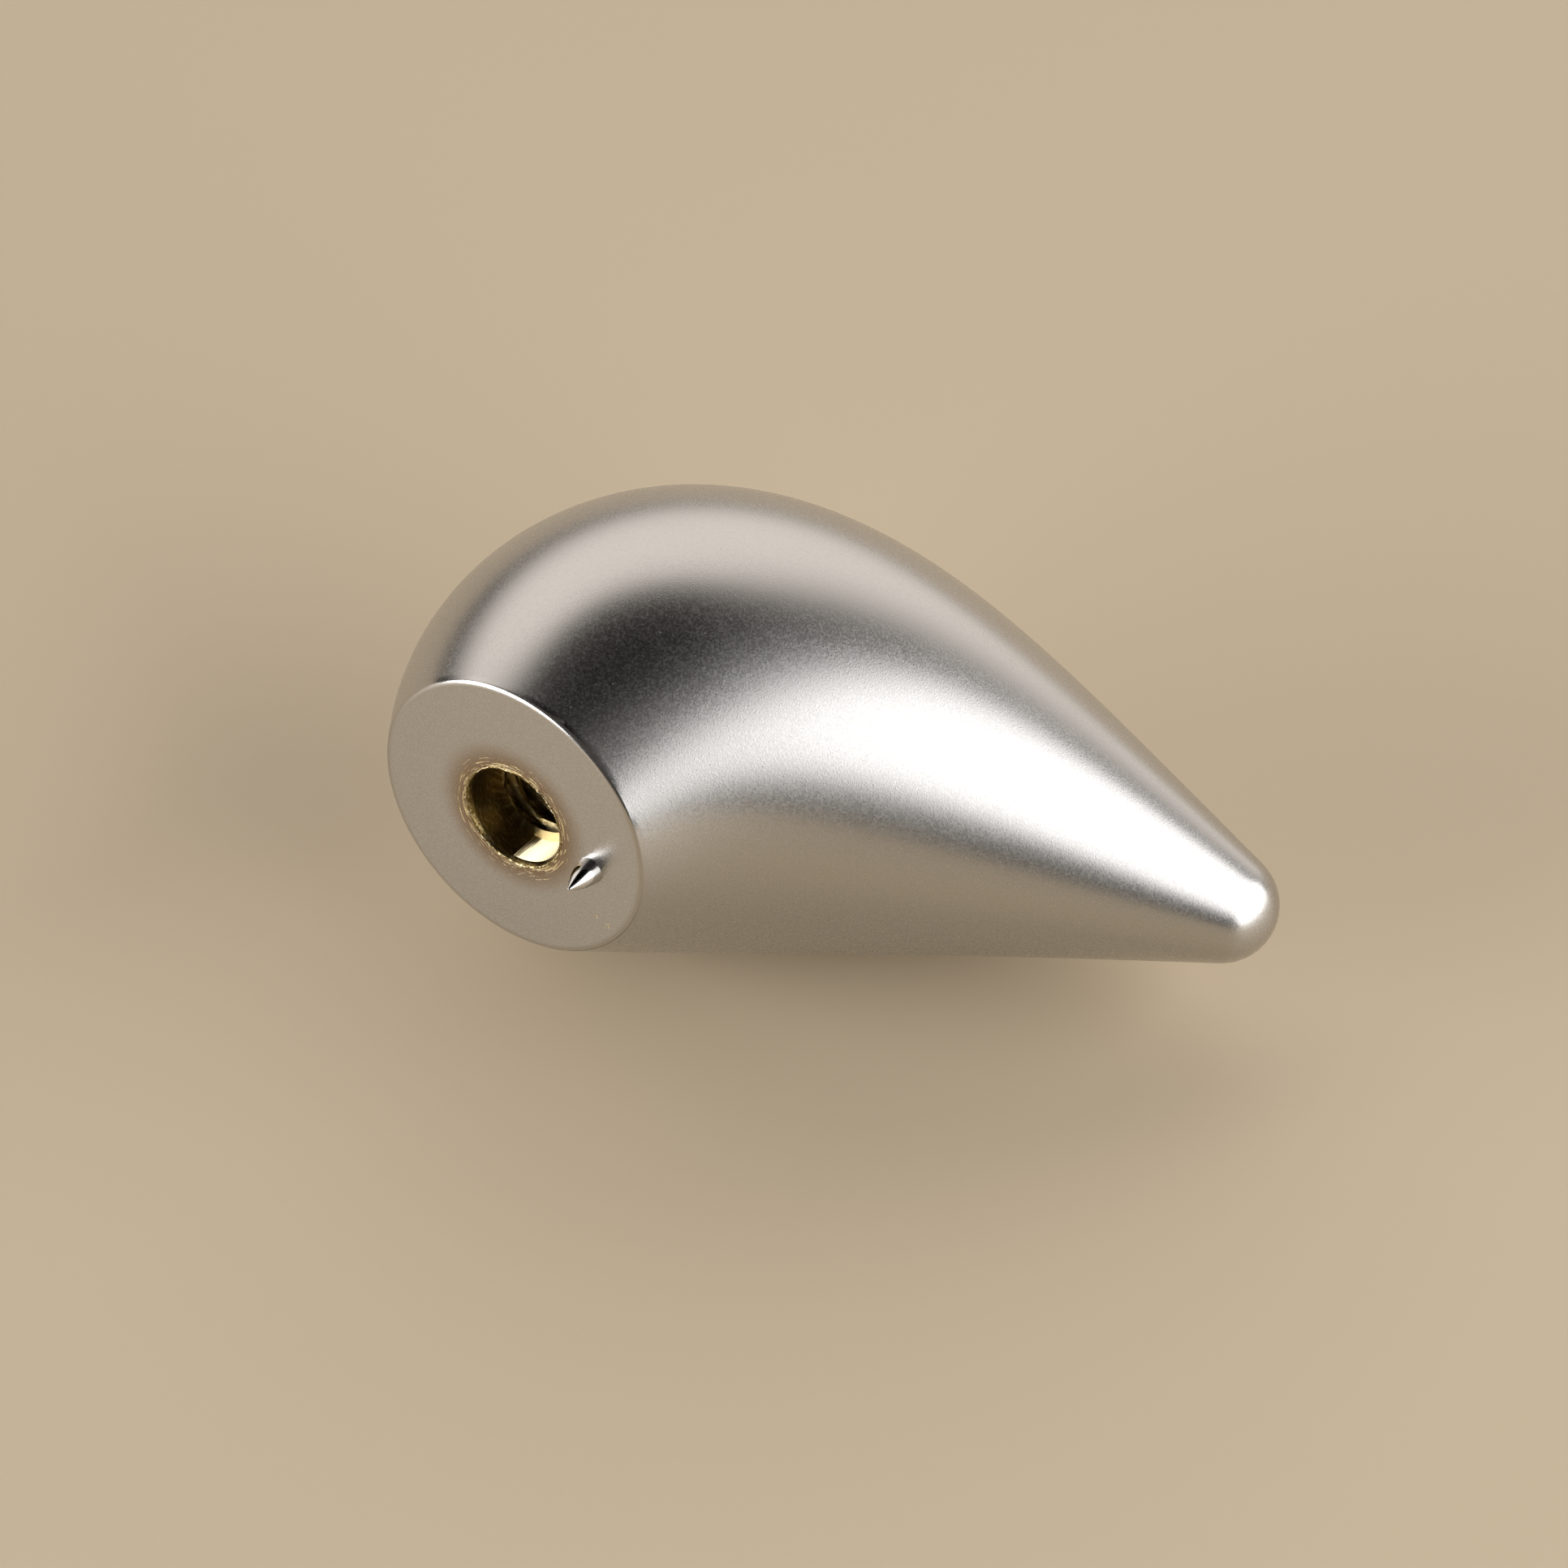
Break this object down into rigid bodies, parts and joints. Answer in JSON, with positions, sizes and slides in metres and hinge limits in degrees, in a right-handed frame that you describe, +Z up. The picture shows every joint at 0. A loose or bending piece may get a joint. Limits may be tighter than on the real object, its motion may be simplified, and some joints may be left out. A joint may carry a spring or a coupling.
{
  "type": "cabinet knob",
  "caption": "Bent-drop cabinet knob in satin chrome, with a flat round seat, a tapped screw hole in its middle and a conical spike that stops it turning.",
  "frame": {"origin": "centre of the flat round seat that lies on the door, on the screw's axis", "axes": "-Y points out of the seat into the door and +Y out into the room, +X runs along the tail, and +Z is up with the tail pointing sideways; Z = 0 is the mirror plane"},
  "size_m": [0.0325, 0.0215, 0.018],
  "materials": {
    "satin_chrome": "satin",
    "polished_steel": "polished"
  },
  "bodies": {
    "root": {"knob_body": "satin_chrome", "locating_spike": "polished_steel"}
  },
  "joints": []
}
